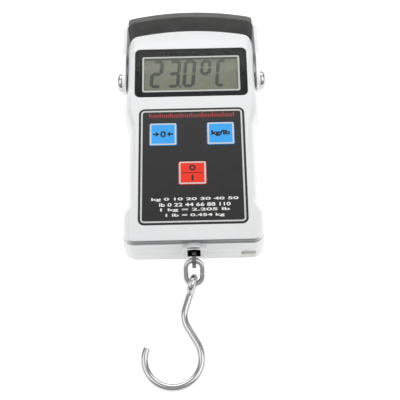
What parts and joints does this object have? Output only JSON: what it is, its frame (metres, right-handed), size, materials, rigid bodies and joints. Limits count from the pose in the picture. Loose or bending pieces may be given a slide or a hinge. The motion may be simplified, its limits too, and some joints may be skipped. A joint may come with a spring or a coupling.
{
  "type": "digital fish scale",
  "caption": "Hand-held digital hanging scale with display, three keys, fold-over carry handle, wire hook on a chain link and a built-in pull-out tape.",
  "frame": {"origin": "middle of the flat back face, at the middle of the housing's length and width", "axes": "+Z out of the display, +Y along the body towards the handle, +X to the right of someone reading the display"},
  "size_m": [0.0812, 0.2054, 0.0254],
  "materials": {
    "silver_plastic": "silver paint, satin gloss",
    "white_enamel": "baked enamel, satin gloss",
    "zinc_steel": "zinc plated",
    "clear_plastic": "clear acrylic",
    "black_print": "printed black",
    "lcd_glass": "olive grey display",
    "reflector": "satin",
    "white_plastic": "moulded",
    "zebra_rubber": "elastomer",
    "black_label": "printed satin overlay",
    "black_plastic": "moulded",
    "board": "solder mask",
    "epoxy": "epoxy",
    "cell_aluminium": "machined",
    "gauge_foil": "polyimide film",
    "wire": "insulated wire",
    "chrome_steel": "polished plating",
    "nylon": "natural nylon",
    "battery_wrap": "plain printed sleeve",
    "contact_metal": "nickel plated",
    "grip_black": "satin black",
    "key_blue": "printed blue",
    "key_red": "printed red",
    "tape_paint": "painted tape",
    "spring_steel": "spring temper"
  },
  "bodies": {
    "root": {"front_shell": "silver_plastic", "rear_shell": "silver_plastic", "housing_screws": "zinc_steel", "window_lens": "clear_plastic", "window_mask": "black_print", "lcd_cell": "lcd_glass", "lcd_reflector": "reflector", "lcd_holder": "white_plastic", "zebra_strip": "zebra_rubber", "label_panel": "black_label", "tact_switches": "black_plastic", "main_board": "board", "board_screws": "zinc_steel", "chip_blob": "epoxy", "board_components": "black_plastic", "load_cell": "cell_aluminium", "strain_gauges": "gauge_foil", "cell_leads": "wire", "hook_tang": "chrome_steel", "tang_pin": "zinc_steel", "carrier_yoke": "zinc_steel", "yoke_bolts": "zinc_steel", "pivot_screws": "chrome_steel", "pivot_washers": "nylon", "battery_cells": "battery_wrap", "battery_plates": "contact_metal", "battery_springs": "contact_metal", "battery_leads": "wire", "tape_case": "white_plastic", "tape_axle": "zinc_steel"},
    "handle": {"handle_bail": "white_enamel", "handle_grip": "grip_black", "pivot_bushes": "nylon"},
    "link": {"hook_link": "chrome_steel"},
    "hook": {"hook": "chrome_steel"},
    "zero_button": {"zero_key": "key_blue", "zero_plunger": "black_plastic"},
    "unit_button": {"unit_key": "key_blue", "unit_plunger": "black_plastic"},
    "power_button": {"power_key": "key_red", "power_plunger": "black_plastic"},
    "battery_cover": {"battery_door": "silver_plastic"},
    "tape": {"tape_blade": "tape_paint", "tape_tab": "white_plastic", "tab_rivets": "contact_metal"},
    "tape_reel": {"tape_spool": "white_plastic", "tape_spring": "spring_steel", "tape_coil": "tape_paint"}
  },
  "joints": [
    {"name": "handle_swing", "type": "hinge", "parent": "root", "child": "handle", "pos_m": [0, 0.0365, 0.0128], "axis": [1, 0, 0], "range_deg": [-90, 120]},
    {"name": "link_swing", "type": "hinge", "parent": "root", "child": "link", "pos_m": [-0.0002, -0.068, 0.0128], "axis": [1, 0, 0], "range_deg": [-95, 40]},
    {"name": "hook_swing", "type": "hinge", "parent": "link", "child": "hook", "pos_m": [-0.0012, -0.0783, 0.00565], "axis": [0.9563, -0.2924, 0], "range_deg": [-50, 50]},
    {"name": "zero_press", "type": "slide", "parent": "root", "child": "zero_button", "axis": [0, 0, -1], "range_m": [0, 0.00035], "stiffness_N_per_m": 800, "springref_m": -0.0003},
    {"name": "unit_press", "type": "slide", "parent": "root", "child": "unit_button", "axis": [0, 0, -1], "range_m": [0, 0.00035], "stiffness_N_per_m": 800, "springref_m": -0.0003},
    {"name": "power_press", "type": "slide", "parent": "root", "child": "power_button", "axis": [0, 0, -1], "range_m": [0, 0.00035], "stiffness_N_per_m": 800, "springref_m": -0.0003},
    {"name": "battery_door_off", "type": "slide", "parent": "root", "child": "battery_cover", "axis": [0, 0, -1], "range_m": [0, 0.02]},
    {"name": "tape_pull", "type": "slide", "parent": "root", "child": "tape", "axis": [0, -1, 0], "range_m": [0, 0.04], "stiffness_N_per_m": 12, "springref_m": -0.02},
    {"name": "reel_turn", "type": "hinge", "parent": "root", "child": "tape_reel", "pos_m": [0.0278, -0.017, 0.0145], "axis": [1, 0, 0], "range_deg": [-420, 0]}
  ],
  "couplings": [
    {"joint": "reel_turn", "follows": "tape_pull", "rad_per_m": -181.82}
  ]
}
